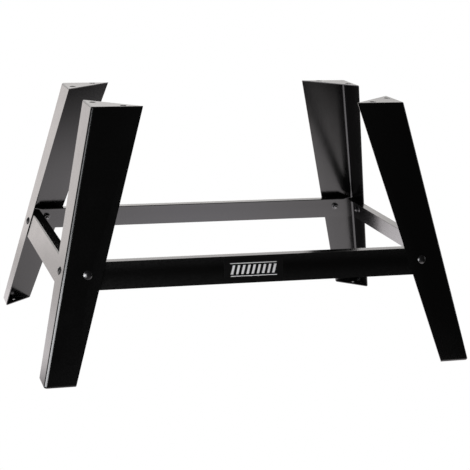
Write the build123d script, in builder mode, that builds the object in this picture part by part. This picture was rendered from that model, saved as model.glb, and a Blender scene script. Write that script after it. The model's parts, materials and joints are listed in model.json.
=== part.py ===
from build123d import *

import os
from math import atan, cos, radians, tan

# Bolted steel leg stand for a bench machine, in millimetres.
# Origin: middle of the footprint, on the floor. +X runs along the long rails, +Y to the back.

# Overall shape. Lengths and widths are taken between the outer corners of the legs.
height = 600
top_length, top_width = 752, 414
foot_length, foot_width = 1020, 738

# Sheet and folds.
sheet = 2
ridge_bend = 8
plate_bend = 4
rail_bend = 4
slit = 0.2

# Leg flanges: the wide one faces the front or back, the narrower one faces the side.
flange_top, flange_foot = 118, 72
side_share = 0.94

# Rails: an upright web with a level flange folded in along its top edge.
rail_top, rail_bottom = 264, 204
rail_flange = 24
corner_gap = 6.5
long_mitre, side_mitre = 15, 10

# Holes for the machine and the floor, measured in from the corner of the plate.
machine_hole, floor_hole = 15, 9
long_hole = (75, 14)
cross_hole = (15.5, 72)
foot_hole = (27, 19)

# Carriage bolts M8 x 16 and flange nuts.
bolt_height = 238
long_bolt_in, side_bolt_in = 56, 51
head_width, head_height, head_rim = 20, 4.6, 0.8
neck_width, neck_length, neck_hole = 8.4, 3.9, 8.8
thread, bolt_length, bolt_tip = 8, 16, 0.8
nut_width, nut_corner, nut_hole, nut_height = 13, 14.6, 8.2, 8
nut_flange, nut_rim, nut_cone = 17.9, 1.2, 2.6
nut_chamfer = 30

# Sticker on the front rail.
label_length, label_width, label_thickness, label_corner = 142, 54, 0.3, 3
label_middle = (-15, 234)

ends = {"front": -1, "back": 1}
sides = {"left": -1, "right": 1}

# How far the legs spread for each millimetre down, and the level thickness of a leaning sheet.
run_x = (foot_length - top_length) / 2 / height
run_y = (foot_width - top_width) / 2 / height
wall_x = sheet / cos(atan(run_x))
wall_y = sheet / cos(atan(run_y))


def ridge_x(z):
    return foot_length / 2 - run_x * z


def ridge_y(z):
    return foot_width / 2 - run_y * z


def flange(z):
    return flange_foot + (flange_top - flange_foot) * z / height


def side_flange(z):
    return wall_y + side_share * (flange(z) - wall_x)


def side_face(sx, inset=0):
    # Outer face of the side flanges, moved in by inset and facing out.
    return Plane((sx * foot_length / 2, 0, 0), x_dir=(0, sx, 0), z_dir=(sx, 0, run_x)).offset(-inset)


def end_face(sy, inset=0):
    # Outer face of the front or back flanges, moved in by inset and facing out.
    return Plane((0, sy * foot_width / 2, 0), x_dir=(-sy, 0, 0), z_dir=(0, sy, run_y)).offset(-inset)


def trim(*planes):
    # Keeps what lies behind each plane.
    for plane in planes:
        split(bisect_by=plane, keep=Keep.BOTTOM)


def fold(part, points, radius):
    # Rounds the edges of part that pass through the points.
    fillet([part.edges().sort_by_distance(point)[0] for point in points], radius)


def flange_limits(sx, sy):
    # Planes at the free edges of the two flanges and along the sloping edge of both plates.
    def front_end(z):
        return Vector(sx * (ridge_x(z) - flange(z)), sy * (ridge_y(z) - wall_y), z)

    def side_end(z):
        return Vector(sx * (ridge_x(z) - wall_x), sy * (ridge_y(z) - side_flange(z)), z)

    up_front = front_end(height) - front_end(0)
    up_side = side_end(height) - side_end(0)
    across = side_end(0) - front_end(0)
    front_limit = Plane(front_end(0), z_dir=Vector(0, sx, 0).cross(up_front) * -1)
    side_limit = Plane(side_end(0), z_dir=Vector(sy, 0, 0).cross(up_side))
    slope = Plane(front_end(0), z_dir=across.cross(up_front) * (sx * sy))
    return front_limit, side_limit, slope


def leg(name, sx, sy):
    def corner(z, inset):
        # Corner of the leg at this height, with the sheet's thickness taken off when inset is 1.
        return sx * (ridge_x(z) - inset * wall_x), sy * (ridge_y(z) - inset * wall_y)

    def on_fold(z, inset):
        x, y = corner(z, inset)
        return x - sx * flange(z) / 2, y, z

    reach_x, reach_y = foot_length / 2, foot_width / 2
    middle = height / 2
    with BuildPart() as hollow:
        with Locations((sx * reach_x / 2, sy * reach_y / 2, middle)):
            Box(reach_x, reach_y, height - 2 * sheet)
        trim(side_face(sx, sheet), end_face(sy, sheet))
        fold(hollow, [(*corner(middle, 1), middle)], ridge_bend - sheet)
        fold(hollow, [on_fold(sheet, 1), on_fold(height - sheet, 1)], plate_bend - sheet)

    with BuildPart() as slits:
        for z in (0, height):
            with Locations((sx * reach_x / 2, sy * (ridge_y(z) - ridge_bend - sheet) / 2, z)):
                Box(reach_x, ridge_y(z) - ridge_bend - sheet, 2 * sheet + slit)
        trim(side_face(sx, sheet))
        split(bisect_by=side_face(sx, sheet + slit), keep=Keep.TOP)

    with BuildPart() as leg:
        with Locations((sx * reach_x / 2, sy * reach_y / 2, middle)):
            Box(reach_x, reach_y, height)
        trim(side_face(sx), end_face(sy), *flange_limits(sx, sy))
        fold(leg, [(*corner(middle, 0), middle)], ridge_bend)
        fold(leg, [on_fold(0, 0), on_fold(height, 0)], plate_bend)
        add(hollow.part, mode=Mode.SUBTRACT)
        add(slits.part, mode=Mode.SUBTRACT)
        top_x, top_y = corner(height, 0)
        with Locations(*((top_x - sx * x, top_y - sy * y, height) for x, y in (long_hole, cross_hole))):
            Hole(machine_hole / 2, depth=2 * sheet)
        foot_x, foot_y = corner(0, 0)
        with Locations((foot_x - sx * foot_hole[0], foot_y - sy * foot_hole[1], 2 * sheet)):
            Hole(floor_hole / 2, depth=3 * sheet)
        for seat in (long_seat(sx, sy), side_seat(sx, sy)):
            with BuildSketch(seat):
                Rectangle(neck_hole, neck_hole)
            extrude(amount=2 * sheet, both=True, mode=Mode.SUBTRACT)

    leg.part.label = name
    export_step(leg.part, f"parts/{name}.step")


def long_seat(sx, sy):
    # Where a bolt through a front or back rail sits on the outside of a leg.
    x = sx * (ridge_x(bolt_height) - long_bolt_in)
    face = end_face(sy)
    return Plane((x, sy * ridge_y(bolt_height), bolt_height), x_dir=face.x_dir, z_dir=face.z_dir)


def side_seat(sx, sy):
    # Where a bolt through a side rail sits on the outside of a leg.
    y = sy * (ridge_y(bolt_height) - side_bolt_in)
    face = side_face(sx)
    return Plane((sx * ridge_x(bolt_height), y, bolt_height), x_dir=face.x_dir, z_dir=face.z_dir)


def rail(name, sx, sy):
    # sx is 0 for a long rail and sy is 0 for a side rail; the other one says which side it is on.
    out = sx + sy
    if sy:
        across, outer, wall, length, mitre = Plane.YZ, ridge_y, wall_y, foot_length, long_mitre
        inner_corner = ridge_x(rail_top) - wall_x
        stops = [side_face(end, sheet + corner_gap) for end in (-1, 1)]
        seats = [long_seat(end, sy) for end in (-1, 1)]
    else:
        across, outer, wall, length, mitre = Plane.XZ, ridge_x, wall_x, foot_width, side_mitre
        inner_corner = ridge_y(rail_top) - wall_y
        stops = [end_face(end, sheet + corner_gap) for end in (-1, 1)]
        seats = [side_seat(sx, end) for end in (-1, 1)]

    def web(z):
        # Outer face of the web, which lies on the inside of the legs.
        return outer(z) - wall

    edge = web(rail_top) - rail_flange
    fold_line = web(rail_top) - rail_bend
    with BuildPart() as rail:
        with BuildSketch(across) as section:
            with BuildLine():
                Polyline(
                    (out * web(rail_top), rail_top),
                    (out * web(rail_bottom), rail_bottom),
                    (out * (web(rail_bottom) - wall), rail_bottom),
                    (out * (web(rail_top - sheet) - wall), rail_top - sheet),
                    (out * edge, rail_top - sheet),
                    (out * edge, rail_top),
                    close=True,
                )
            make_face()
            outside = (out * web(rail_top), rail_top)
            inside = (out * (web(rail_top - sheet) - wall), rail_top - sheet)
            for (u, v), radius in ((outside, rail_bend), (inside, rail_bend - sheet)):
                fillet(section.vertices().sort_by_distance((u, v, 0))[0], radius)
        extrude(amount=length / 2, both=True)
        trim(*stops)

        # The flange is mitred back from each corner, clear of the fold.
        with BuildSketch(Plane.XY.offset(rail_top)):
            for end in (-1, 1):
                outline = [
                    (end * (inner_corner - mitre), out * fold_line),
                    (end * (inner_corner + rail_flange), out * fold_line),
                    (end * (inner_corner + rail_flange), out * (fold_line - rail_flange)),
                    (end * (inner_corner - mitre - rail_flange), out * (fold_line - rail_flange)),
                ]
                with BuildLine():
                    Polyline(*((u, v) if sy else (v, u) for u, v in outline), close=True)
                make_face()
        extrude(amount=-1.5 * sheet, mode=Mode.SUBTRACT)

        for seat in seats:
            with BuildSketch(seat.offset(-1.5 * sheet)):
                Rectangle(neck_hole, neck_hole)
            extrude(amount=2 * sheet, both=True, mode=Mode.SUBTRACT)

    rail.part.label = name
    export_step(rail.part, f"parts/{name}.step")


def bolt(name, seat):
    half = head_width / 2
    rise = head_height - head_rim
    dome = (half**2 + rise**2) / (2 * rise)
    through_axis = Plane(seat.origin, x_dir=seat.x_dir, z_dir=-seat.y_dir)
    with BuildPart() as bolt:
        with BuildSketch(through_axis):
            with BuildLine():
                Polyline((0, head_height), (0, 0), (half, 0), (half, head_rim))
                RadiusArc((half, head_rim), (0, head_height), -dome)
            make_face()
        revolve(axis=Axis(seat.origin, seat.z_dir))
        with BuildSketch(seat):
            Rectangle(neck_width, neck_width)
        extrude(amount=-neck_length)
        with BuildSketch(seat):
            Circle(thread / 2)
        extrude(amount=-bolt_length)
        tip = bolt.faces().sort_by_distance(seat.offset(-bolt_length).origin)[0]
        chamfer(tip.edges(), bolt_tip)
    bolt.part.label = name
    export_step(bolt.part, f"parts/{name}.step")


def nut(name, seat):
    # A hexagon that grows out of a round flange, with its outer corners turned off.
    bearing = seat.offset(-2 * sheet)
    through_axis = Plane(bearing.origin, x_dir=bearing.x_dir, z_dir=-bearing.y_dir)
    flange_radius, flat, corner = nut_flange / 2, nut_width / 2, nut_corner / 2
    with BuildPart() as nut:
        with BuildSketch(bearing):
            RegularPolygon(flat, 6, major_radius=False)
        extrude(amount=-nut_height)
        with BuildSketch(through_axis):
            with BuildLine():
                Polyline(
                    (0, 0),
                    (corner, 0),
                    (corner, (corner - flat) * tan(radians(nut_chamfer)) - nut_height),
                    (flat, -nut_height),
                    (0, -nut_height),
                    close=True,
                )
            make_face()
        revolve(axis=Axis(bearing.origin, bearing.z_dir), mode=Mode.INTERSECT)
        with BuildSketch(through_axis):
            with BuildLine():
                Polyline(
                    (0, 0),
                    (flange_radius, 0),
                    (flange_radius, -nut_rim),
                    (flat, -nut_cone),
                    (0, -nut_cone),
                    close=True,
                )
            make_face()
        revolve(axis=Axis(bearing.origin, bearing.z_dir))
        with BuildSketch(bearing):
            Circle(nut_hole / 2)
        extrude(amount=-nut_height, mode=Mode.SUBTRACT)
    nut.part.label = name
    export_step(nut.part, f"parts/{name}.step")


def label(name):
    x, z = label_middle
    face = end_face(ends["front"])
    middle = Plane((x, -(ridge_y(z) - wall_y), z), x_dir=face.x_dir, z_dir=face.z_dir)
    with BuildPart() as label:
        with BuildSketch(middle):
            RectangleRounded(label_length, label_width, label_corner)
        extrude(amount=label_thickness)
    label.part.label = name
    export_step(label.part, f"parts/{name}.step")


os.makedirs("parts", exist_ok=True)

for end, sy in ends.items():
    rail(f"rail_{end}", 0, sy)
    for side, sx in sides.items():
        leg(f"leg_{end}_{side}", sx, sy)
        for place, seat in ((f"{end}_{side}", long_seat(sx, sy)), (f"{side}_{end}", side_seat(sx, sy))):
            bolt(f"bolt_{place}", seat)
            nut(f"nut_{place}", seat)
for side, sx in sides.items():
    rail(f"rail_{side}", sx, 0)
label("label")
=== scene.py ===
import json
from math import pi, radians, sin

import bmesh
import bpy
from mathutils import Matrix, Vector


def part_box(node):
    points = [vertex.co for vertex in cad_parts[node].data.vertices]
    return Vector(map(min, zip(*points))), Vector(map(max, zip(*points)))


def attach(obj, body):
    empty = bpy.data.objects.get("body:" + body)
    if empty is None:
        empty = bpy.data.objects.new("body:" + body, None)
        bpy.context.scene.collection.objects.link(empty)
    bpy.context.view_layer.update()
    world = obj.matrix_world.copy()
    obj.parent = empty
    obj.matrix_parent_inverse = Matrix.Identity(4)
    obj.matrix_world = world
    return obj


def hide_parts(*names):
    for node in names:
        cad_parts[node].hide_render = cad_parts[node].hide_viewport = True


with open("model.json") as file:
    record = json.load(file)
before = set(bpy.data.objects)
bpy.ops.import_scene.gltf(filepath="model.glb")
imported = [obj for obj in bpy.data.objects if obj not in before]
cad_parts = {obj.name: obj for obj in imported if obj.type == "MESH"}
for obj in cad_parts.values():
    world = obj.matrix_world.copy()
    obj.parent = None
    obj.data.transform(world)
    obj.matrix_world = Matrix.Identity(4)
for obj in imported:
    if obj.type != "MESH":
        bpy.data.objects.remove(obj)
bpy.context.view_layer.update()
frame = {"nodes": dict(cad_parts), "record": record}  # bolted leg stand for a bench machine: legs, rails, bolts, flange nuts and a sticker
bpy.ops.object.select_all(action="DESELECT")
print("frame loaded:", len(frame["nodes"]), "CAD nodes")


def addNode(tree, kind, values=(), **choices):
    node = tree.nodes.new("ShaderNode" + kind)
    for name, choice in choices.items():
        setattr(node, name, choice)
    for name, value in dict(values).items():
        node.inputs[name].default_value = value
    return node


cameraSettings = {
    "place": (-0.9443, -3.3191, 1.0664),
    "heading": 16.30,  # degrees to the right of +Y
    "dip": 13.43,  # degrees below level
    "roll": 1.55,
    "lens": 108.77,  # millimetres, as the sensor's width is
    "sensor": 36,
    "farthest": 60,  # what lies farther off isn't drawn
}


def addCamera():
    s = cameraSettings
    bpy.ops.object.camera_add(location=s["place"])
    camera = bpy.context.object
    camera.name = "studioCamera"
    turn = Matrix.Rotation(-radians(s["heading"]), 3, "Z")
    tip = Matrix.Rotation(pi / 2 - radians(s["dip"]), 3, "X")
    roll = Matrix.Rotation(radians(s["roll"]), 3, "Z")
    camera.rotation_euler = (turn @ tip @ roll).to_euler()
    camera.data.lens = s["lens"]
    camera.data.sensor_width = s["sensor"]
    camera.data.clip_end = s["farthest"]
    bpy.context.scene.camera = camera


floorSettings = {
    "size": 60,
    "wash": 1.5,  # glow all over the floor, before the edges below
    "washTint": (1.05, 0.99, 0.97),
    "pool": 1.35,  # extra glow under the stand
    "poolTint": (1.02, 0.98, 1.04),
    "poolMiddle": (0.05, 0.12),
    "poolReach": (0.95, 1.2),  # along X and Y
    "frontEdge": (-0.65, -0.17, 0.08),  # y where the glow starts, y where it is full, share left in front
    "frontSkew": 0.25,  # how far that edge comes forward for each metre to the right
    "rightEdge": (0.56, 0.72, 0.06),  # x where it starts to dim, x where it is dimmest, share left there
    "leftEdge": (-0.45, -0.6, 0.78),
    "sideEnd": (0.5, 1.6),  # y range over which both sides light up again
    "foldShadeShare": 0.15,  # painted shade in the folds of the legs: share of the glow left once it is mirrored twice or more
}


def whiteToCamera(tree, lit):
    # The camera sees plain white. The coat mirrors the glow instead, which is shaped to light each sheet.
    rays = addNode(tree, "LightPath")
    kind = "Emission" if lit.node.type == "EMISSION" else "Background"
    white = addNode(tree, kind, {"Color": (1, 1, 1, 1)})
    mix = addNode(tree, "MixShader")
    tree.links.new(rays.outputs["Is Camera Ray"], mix.inputs[0])
    tree.links.new(lit, mix.inputs[1])
    tree.links.new(white.outputs[0], mix.inputs[2])
    return mix.outputs[0]


def fade(tree, source, start, end, first, last):
    # Goes smoothly from first to last while source goes from start to end.
    spread = addNode(
        tree,
        "MapRange",
        {"From Min": start, "From Max": end, "To Min": first, "To Max": last},
        interpolation_type="SMOOTHSTEP",
    )
    tree.links.new(source, spread.inputs["Value"])
    return spread.outputs["Result"]


def combine(tree, operation, first, second):
    node = addNode(tree, "Math", operation=operation)
    for socket, value in zip(node.inputs, (first, second)):
        if isinstance(value, (int, float)):
            socket.default_value = value
        else:
            tree.links.new(value, socket)
    return node.outputs[0]


def makeFloor():
    s = floorSettings
    bpy.ops.mesh.primitive_plane_add(size=s["size"], location=(0, 0, 0))
    floor = bpy.context.object
    floor.name = "floor"
    material = bpy.data.materials.new("paleFloor")
    material.use_nodes = True
    tree = material.node_tree
    tree.nodes.clear()
    place = addNode(tree, "TexCoord")
    split = addNode(tree, "SeparateXYZ")
    tree.links.new(place.outputs["Object"], split.inputs[0])
    x, y = split.outputs["X"], split.outputs["Y"]

    (middleX, middleY), (reachX, reachY) = s["poolMiddle"], s["poolReach"]
    around = addNode(tree, "Mapping", {"Scale": (1 / reachX, 1 / reachY, 1)})
    around.inputs["Location"].default_value = (-middleX / reachX, -middleY / reachY, 0)
    pool = addNode(tree, "TexGradient", gradient_type="SPHERICAL")
    tree.links.new(place.outputs["Object"], around.inputs["Vector"])
    tree.links.new(around.outputs[0], pool.inputs["Vector"])
    glow = combine(tree, "MULTIPLY", fade(tree, pool.outputs["Fac"], 0, 1, 0, 1), s["pool"])
    glow = combine(tree, "ADD", glow, s["wash"])

    frontStart, frontFull, frontShare = s["frontEdge"]
    skewed = combine(tree, "ADD", y, combine(tree, "MULTIPLY", x, s["frontSkew"]))
    glow = combine(tree, "MULTIPLY", glow, fade(tree, skewed, frontStart, frontFull, frontShare, 1))
    sideEnd = fade(tree, y, *s["sideEnd"], 0, 1)
    for start, gone, share in (s["rightEdge"], s["leftEdge"]):
        side = combine(tree, "MULTIPLY", x, 1 if gone > 0 else -1)
        side = fade(tree, side, abs(start), abs(gone), 1, share)
        glow = combine(tree, "MULTIPLY", glow, combine(tree, "MAXIMUM", side, sideEnd))
    mirrored = addNode(tree, "LightPath").outputs["Ray Depth"]  # 1 by way of one sheet, 2 by way of two
    # Painted shade: the glow reached by way of two or more sheets, as in the folds of the legs, is
    # dimmed.
    glow = combine(tree, "MULTIPLY", glow, fade(tree, mirrored, 1, 2, 1, s["foldShadeShare"]))

    tint = addNode(tree, "Mix", data_type="RGBA")
    tint.inputs["A"].default_value = (*s["washTint"], 1)
    tint.inputs["B"].default_value = (*s["poolTint"], 1)
    tree.links.new(pool.outputs["Fac"], tint.inputs["Factor"])
    light = addNode(tree, "Emission")
    tree.links.new(tint.outputs["Result"], light.inputs["Color"])
    out = addNode(tree, "OutputMaterial")
    tree.links.new(glow, light.inputs["Strength"])
    tree.links.new(whiteToCamera(tree, light.outputs[0]), out.inputs["Surface"])
    floor.data.materials.append(material)


backdropSettings = {
    # brightness of the wall behind the stand: degrees above level, strength
    "climb": ((0, 0.8), (7, 0.85), (9, 1.5), (13, 1.6), (30, 1.5), (45, 0.25), (90, 0.2)),
    "halfWidth": 35,  # degrees each side of +Y
    "sideBlur": 0.1,  # radians in and out of that, over which it goes dark
    "rightTurn": (12, 22),  # degrees to the right of +Y over which it dims a little
    "rightShare": 0.85,  # share left beyond
    "tint": (1.03, 1.0, 0.98),
    "room": 0.03,  # strength of the room all round, added to the wall's
}


def makeWorld():
    s = backdropSettings
    world = bpy.data.worlds.new("studio")
    bpy.context.scene.world = world
    world.use_nodes = True
    tree = world.node_tree
    tree.nodes.clear()
    direction = addNode(tree, "TexCoord")
    split = addNode(tree, "SeparateXYZ")
    tree.links.new(direction.outputs["Generated"], split.inputs[0])
    heading = combine(tree, "ARCTAN2", split.outputs["X"], split.outputs["Y"])
    aside = addNode(tree, "Math", operation="ABSOLUTE")
    tree.links.new(heading, aside.inputs[0])
    half = radians(s["halfWidth"])
    inWidth = fade(tree, aside.outputs[0], half - s["sideBlur"], half + s["sideBlur"], 1, 0)
    dimFrom, dimTo = s["rightTurn"]
    right = fade(tree, heading, radians(dimFrom), radians(dimTo), 1, s["rightShare"])

    climb = addNode(tree, "ValToRGB")
    peak = max(strength for _, strength in s["climb"])
    stops = climb.color_ramp.elements
    while len(stops) < len(s["climb"]):
        stops.new(0.5)  # its place comes next
    for stop, (angle, strength) in zip(stops, s["climb"]):
        stop.position = sin(radians(angle))
        stop.color = (strength / peak, strength / peak, strength / peak, 1)
    tree.links.new(split.outputs["Z"], climb.inputs["Fac"])
    across = combine(tree, "MULTIPLY", inWidth, right)
    wall = combine(tree, "MULTIPLY", climb.outputs["Color"], across)
    strength = combine(tree, "ADD", combine(tree, "MULTIPLY", wall, peak), s["room"])

    studio = addNode(tree, "Background", {"Color": (*s["tint"], 1)})
    out = addNode(tree, "OutputWorld")
    tree.links.new(strength, studio.inputs["Strength"])
    tree.links.new(whiteToCamera(tree, studio.outputs[0]), out.inputs["Surface"])


# Each softbox has its middle, its width and height, and its power. On the left are two of them, one over
# the other, and the upper one is dimmer. Each aims level at the upright line through the stand's middle.
softboxTint = (0.97, 0.98, 1)
softboxes = {
    "softboxLeft": {"place": (-1.7, -0.8, 0.33), "size": (0.9, 0.66), "watts": 23},
    "softboxLeftTop": {"place": (-1.7, -0.9, 0.98), "size": (1.0, 0.64), "watts": 9},
    "softboxFrontLeft": {"place": (-1.3, -1.5, 0.45), "size": (0.8, 0.9), "watts": 20},
    "softboxRight": {"place": (2.2, 0.2, 0.6), "size": (1.2, 1.0), "watts": 3},
}


def addSoftboxes():
    for name, s in softboxes.items():
        place = Vector(s["place"])
        bpy.ops.object.light_add(type="AREA", location=place)
        light = bpy.context.object
        light.name = name
        light.data.shape = "RECTANGLE"
        light.data.size, light.data.size_y = s["size"]
        light.data.energy = s["watts"]
        light.data.color = softboxTint
        aim = Vector((0, 0, place.z)) - place
        light.rotation_euler = aim.to_track_quat("-Z", "Y").to_euler()
        light.visible_camera = False


# Colour, roughness from its smoothest to its roughest spots, orange-peel bump, how much lighter worn
# edges are, and the index of refraction, which sets how strongly the finish mirrors.
blackCoat = (0.0008, 0.0008, 0.0008)
blackZinc = (0.0025, 0.0025, 0.003)
film = (0.002, 0.002, 0.002)
silverInk = (0.62, 0.62, 0.62)
finishes = {
    "leg_coat": {"colour": blackCoat, "roughness": (0.15, 0.22), "peel": 0.02, "wear": 0.01, "ior": 1.5},
    "rail_coat": {"colour": blackCoat, "roughness": (0.16, 0.23), "peel": 0.02, "wear": 0.01, "ior": 1.5},
    "bolt": {"colour": blackZinc, "roughness": (0.22, 0.32), "peel": 0.03, "wear": 0.03, "ior": 1.85},
    "nut": {"colour": blackZinc, "roughness": (0.26, 0.38), "peel": 0.03, "wear": 0.04, "ior": 1.6},
    "label": {"colour": film, "roughness": (0.3, 0.38), "peel": 0.01, "wear": 0, "ior": 1.45},
    "print": {"colour": silverInk, "roughness": (0.4, 0.5), "peel": 0.01, "wear": 0, "ior": 1.45},
}

finishGrain = {
    "streaks": (16, 4),  # noise scale per metre, and its detail
    "specks": (240, 2),
    "peel": (420, 2),
    "peelDepth": 0.0002,
    "blotchRange": (0.3, 0.7),  # of the mean of streaks and specks, from smoothest to roughest
    "wornRange": (0.53, 0.62),  # of Pointiness, which is 0.5 on a flat
}


def makeFinish(name):
    s, g = finishes[name], finishGrain
    material = bpy.data.materials.new(name + "Finish")
    material.use_nodes = True
    tree = material.node_tree
    shader = tree.nodes["Principled BSDF"]
    shader.inputs["IOR"].default_value = s["ior"]
    place = addNode(tree, "TexCoord")

    def grain(scale, detail):
        noise = addNode(tree, "TexNoise", {"Scale": scale, "Detail": detail})
        tree.links.new(place.outputs["Object"], noise.inputs["Vector"])
        return noise.outputs["Fac"]

    streaks, specks = grain(*g["streaks"]), grain(*g["specks"])
    blotches = combine(tree, "MULTIPLY", combine(tree, "ADD", streaks, specks), 0.5)
    roughness = fade(tree, blotches, *g["blotchRange"], *s["roughness"])
    tree.links.new(roughness, shader.inputs["Roughness"])

    # Edges are rubbed a little lighter where the surface turns sharply.
    turning = addNode(tree, "NewGeometry").outputs["Pointiness"]
    worn = combine(tree, "MULTIPLY", fade(tree, turning, *g["wornRange"], 0, 1), specks)
    colour = addNode(tree, "Mix", data_type="RGBA")
    colour.inputs["A"].default_value = (*s["colour"], 1)
    colour.inputs["B"].default_value = (*(c + s["wear"] for c in s["colour"]), 1)
    tree.links.new(worn, colour.inputs["Factor"])
    tree.links.new(colour.outputs["Result"], shader.inputs["Base Color"])

    peel = addNode(tree, "Bump", {"Strength": s["peel"], "Distance": g["peelDepth"]})
    tree.links.new(grain(*g["peel"]), peel.inputs["Height"])
    tree.links.new(peel.outputs[0], shader.inputs["Normal"])
    return material


def dressNodes():
    made = {name: makeFinish(name) for name in finishes}
    for row in frame["record"]["subparts"]:
        for place in frame["nodes"][row["node"]].material_slots:
            place.material = made[row["material_slot"]]
    return made


# Over their 600 mm of height the legs run outward by 162 mm along Y and 134 mm along X.
lean = {"long": 162 / 600, "side": 134 / 600}

# A band of slanted bars between two thin lines, printed on the sticker.
printSettings = {
    "size": (0.111, 0.031),
    "shift": -0.0005,  # from the middle of the sticker, along the rail
    "thickness": 0.00012,
    "line": 0.0017,  # width of the lines along both edges
    "bars": 9,
    "bar": 0.0058,  # width of a bar
    "barHeight": 0.0205,
    "slant": 0.006,  # how far a bar's top lies to the right of its foot
}


def printBlock(place, size):
    bpy.ops.mesh.primitive_cube_add(size=1, location=place, scale=size)
    bpy.ops.object.transform_apply(location=True, rotation=False, scale=True)
    return bpy.context.object


def addPrint():
    s = printSettings
    length, height = s["size"]
    middle = s["thickness"] / 2
    blocks = []
    for side in (-1, 1):
        place = (0, side * (height - s["line"]) / 2, middle)
        blocks.append(printBlock(place, (length, s["line"], s["thickness"])))
    pitch = (length - s["slant"] - s["bar"]) / (s["bars"] - 1)
    for number in range(s["bars"]):
        along = (number - (s["bars"] - 1) / 2) * pitch - s["slant"] / 2
        block = printBlock((along, 0, middle), (s["bar"], s["barHeight"], s["thickness"]))
        bpy.ops.object.mode_set(mode="EDIT")
        bpy.ops.mesh.select_all(action="DESELECT")
        mesh = bmesh.from_edit_mesh(block.data)
        for vertex in mesh.verts:
            vertex.select = vertex.co.y > 0
        mesh.select_flush(True)
        bmesh.update_edit_mesh(block.data)
        bpy.ops.transform.translate(value=(s["slant"], 0, 0))
        bpy.ops.object.mode_set(mode="OBJECT")
        blocks.append(block)
    bpy.ops.object.select_all(action="DESELECT")
    for block in blocks:
        block.select_set(True)
    bpy.ops.object.join()
    band = bpy.context.object
    band.name = "labelPrint"

    lowest, highest = (Vector(corner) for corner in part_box("label"))
    away = Vector((0, -1, lean["long"])).normalized()
    # The sticker's box is deeper than its film, because it leans with the rail.
    thick = ((highest.y - lowest.y) - (highest.z - lowest.z) * lean["long"]) * abs(away.y)
    band.location = (lowest + highest) / 2 + away * thick / 2 + Vector((s["shift"], 0, 0))
    band.rotation_euler = away.to_track_quat("Z", "Y").to_euler()
    bpy.ops.object.transform_apply(location=True, rotation=True, scale=True)
    band.data.materials.clear()
    band.data.materials.append(finishMaterials["print"])
    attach(band, "root")
    bpy.ops.object.select_all(action="DESELECT")


# Carriage bolt M8 x 16: round dome, square neck, thread with its ridges, and a chamfered tip.
boltSettings = {
    "height": 0.238,  # of the bolts above the floor, on the outside of the legs
    "longIn": (0.056, 0.0),  # from the corner of the leg to the bolt, along X and Y
    "sideIn": (0.0, 0.051),
    "footReach": (0.51, 0.369),  # corner of a leg on the floor
    "headRadius": 0.010,
    "headHeight": 0.0046,
    "headRim": 0.0008,  # straight edge below the dome
    "headSteps": 14,
    "neckWidth": 0.0084,
    "neckLength": 0.0039,
    "threadRadius": 0.004,
    "rootRadius": 0.0034,
    "pitch": 0.00125,
    "crest": (0.45, 0.55),  # part of each pitch that is the top of a ridge
    "length": 0.016,
    "tip": 0.0008,
    "neckBevel": 0.0003,
    "neckBevelSteps": 2,
    "sides": 48,
    "smoothBelow": 25,  # degrees between faces that shade as one surface
}


def boltProfile():
    # Rings from the tip to the top of the dome as (radius, height), with the underside of the head at 0.
    s = boltSettings
    root, crest = s["rootRadius"], s["threadRadius"]
    rings = [(root - s["tip"], -s["length"]), (root, s["tip"] - s["length"])]
    height = s["tip"] - s["length"]
    while height + s["pitch"] < -s["neckLength"]:
        for share in s["crest"]:
            rings.append((crest, height + s["pitch"] * share))
        rings.append((root, height + s["pitch"]))
        height += s["pitch"]
    rings.append((root, 0))
    rings.append((s["headRadius"], 0))
    dome = s["headHeight"] - s["headRim"]
    sphere = (s["headRadius"] ** 2 + dome ** 2) / (2 * dome)
    for step in range(s["headSteps"], 0, -1):
        radius = s["headRadius"] * step / s["headSteps"]
        drop = sphere - (sphere ** 2 - radius ** 2) ** 0.5
        rings.append((radius, s["headHeight"] - drop))
    return rings


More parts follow.
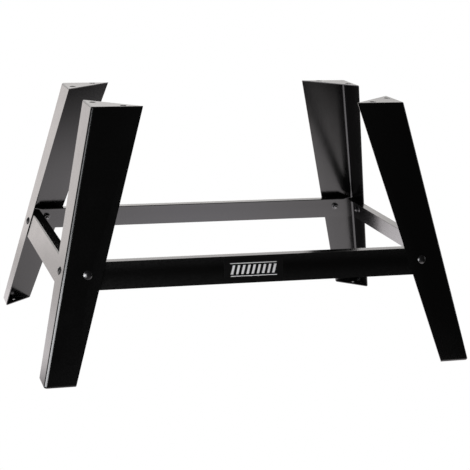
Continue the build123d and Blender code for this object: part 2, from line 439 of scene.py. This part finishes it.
def addBolt(name, seat, away):
    s = boltSettings
    rings = boltProfile()
    radius, height = rings[0]
    bpy.ops.mesh.primitive_circle_add(
        vertices=s["sides"], radius=radius, fill_type="NGON", location=(0, 0, height)
    )
    bolt = bpy.context.object
    bolt.name = "screw_" + name
    bpy.ops.object.transform_apply(location=True)
    bpy.ops.object.mode_set(mode="EDIT")
    bpy.ops.mesh.select_mode(type="FACE")
    bpy.ops.mesh.select_all(action="SELECT")
    for nextRadius, nextHeight in rings[1:]:
        bpy.ops.mesh.extrude_region_move(TRANSFORM_OT_translate={"value": (0, 0, nextHeight - height)})
        grow = nextRadius / radius
        bpy.ops.transform.resize(value=(grow, grow, 1), center_override=(0, 0, nextHeight))
        radius, height = nextRadius, nextHeight
    bpy.ops.mesh.select_all(action="SELECT")
    bpy.ops.mesh.normals_make_consistent(inside=False)
    bpy.ops.object.mode_set(mode="OBJECT")
    bpy.ops.object.shade_smooth_by_angle(angle=radians(s["smoothBelow"]))

    # The square neck keeps the bolt from turning in its hole.
    neckSize = (s["neckWidth"], s["neckWidth"], s["neckLength"])
    bpy.ops.mesh.primitive_cube_add(size=1, location=(0, 0, -s["neckLength"] / 2), scale=neckSize)
    bpy.ops.object.transform_apply(location=True, rotation=False, scale=True)
    bpy.ops.object.mode_set(mode="EDIT")
    bpy.ops.mesh.select_all(action="SELECT")
    bpy.ops.mesh.bevel(offset=s["neckBevel"], segments=s["neckBevelSteps"])
    bpy.ops.object.mode_set(mode="OBJECT")
    bolt.select_set(True)
    bpy.context.view_layer.objects.active = bolt
    bpy.ops.object.join()

    bolt.location = seat
    bolt.rotation_euler = away.to_track_quat("Z", "Y").to_euler()
    bpy.ops.object.transform_apply(location=True, rotation=True, scale=True)
    bolt.data.materials.clear()
    bolt.data.materials.append(finishMaterials["bolt"])
    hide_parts(name)
    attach(bolt, "root")
    bpy.ops.object.select_all(action="DESELECT")


def addBolts():
    s = boltSettings
    cornerX = s["footReach"][0] - lean["side"] * s["height"]
    cornerY = s["footReach"][1] - lean["long"] * s["height"]
    for sideName, sx in (("left", -1), ("right", 1)):
        for endName, sy in (("front", -1), ("back", 1)):
            x, y = cornerX - s["longIn"][0], cornerY - s["longIn"][1]
            away = Vector((0, sy, lean["long"])).normalized()
            addBolt(f"bolt_{endName}_{sideName}", Vector((sx * x, sy * y, s["height"])), away)
            x, y = cornerX - s["sideIn"][0], cornerY - s["sideIn"][1]
            away = Vector((sx, 0, lean["side"])).normalized()
            addBolt(f"bolt_{sideName}_{endName}", Vector((sx * x, sy * y, s["height"])), away)


bpy.context.scene.view_settings.view_transform = "Standard"
addCamera()
makeFloor()
makeWorld()
addSoftboxes()
finishMaterials = dressNodes()
print("studio and finishes ready")
addPrint()
print("sticker printed")
addBolts()
print("bolts threaded")
